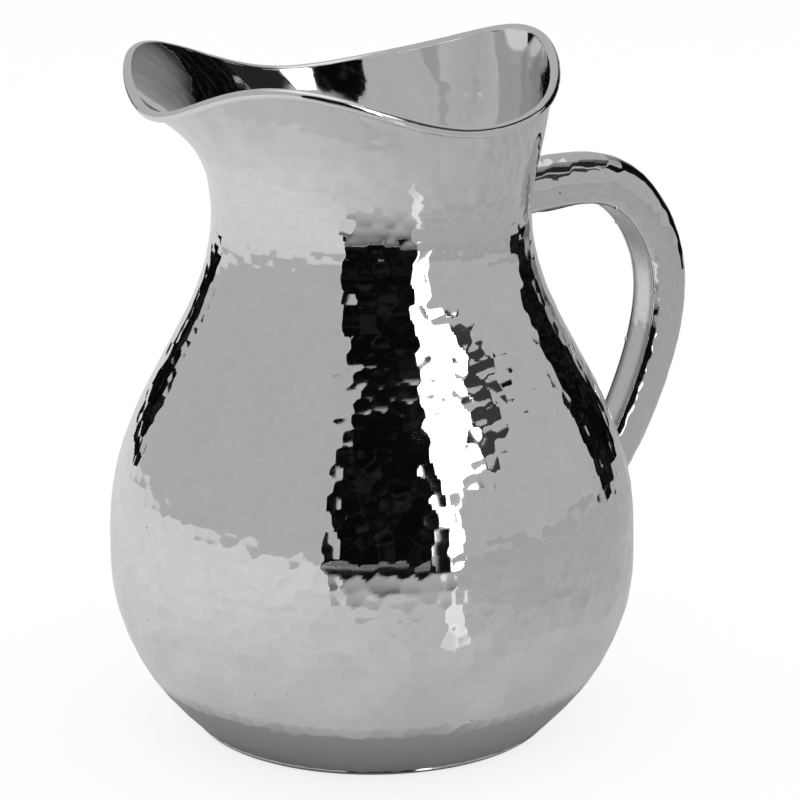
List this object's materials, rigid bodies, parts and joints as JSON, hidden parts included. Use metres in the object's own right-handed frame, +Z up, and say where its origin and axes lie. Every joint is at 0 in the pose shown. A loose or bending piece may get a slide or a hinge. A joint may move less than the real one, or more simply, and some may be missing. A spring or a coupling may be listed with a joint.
{
  "type": "water pitcher",
  "caption": "Pear-shaped hammered silver-coloured water pitcher with a wavy wire-edged mouth, a broad pouring spout and a hollow D-section loop handle.",
  "frame": {"origin": "centre of the flat base ring, on the surface that the pitcher stands on", "axes": "+Z up along the axis of the body, -X towards the spout, +X towards the handle; the XZ plane is the plane of symmetry"},
  "size_m": [0.1976, 0.165, 0.217],
  "materials": {
    "hammered_body": "mirror polished over hand-hammered facets about 5 mm wide",
    "hammered_handle": "mirror polished over lightly hammered facets",
    "polished_rim": "plain bright polish",
    "polished_joint": "weld and solder metal polished flush",
    "satin_base": "turned satin"
  },
  "bodies": {
    "root": {"upper_body": "hammered_body", "lower_bowl": "hammered_body", "base_pan": "satin_base", "belly_weld": "polished_joint", "base_weld": "polished_joint", "rim_wire": "polished_rim", "handle_outer_channel": "hammered_handle", "handle_inner_strip": "hammered_handle", "handle_seam_solder": "polished_joint", "neck_solder_fillet": "polished_joint", "belly_solder_fillet": "polished_joint"}
  },
  "joints": []
}
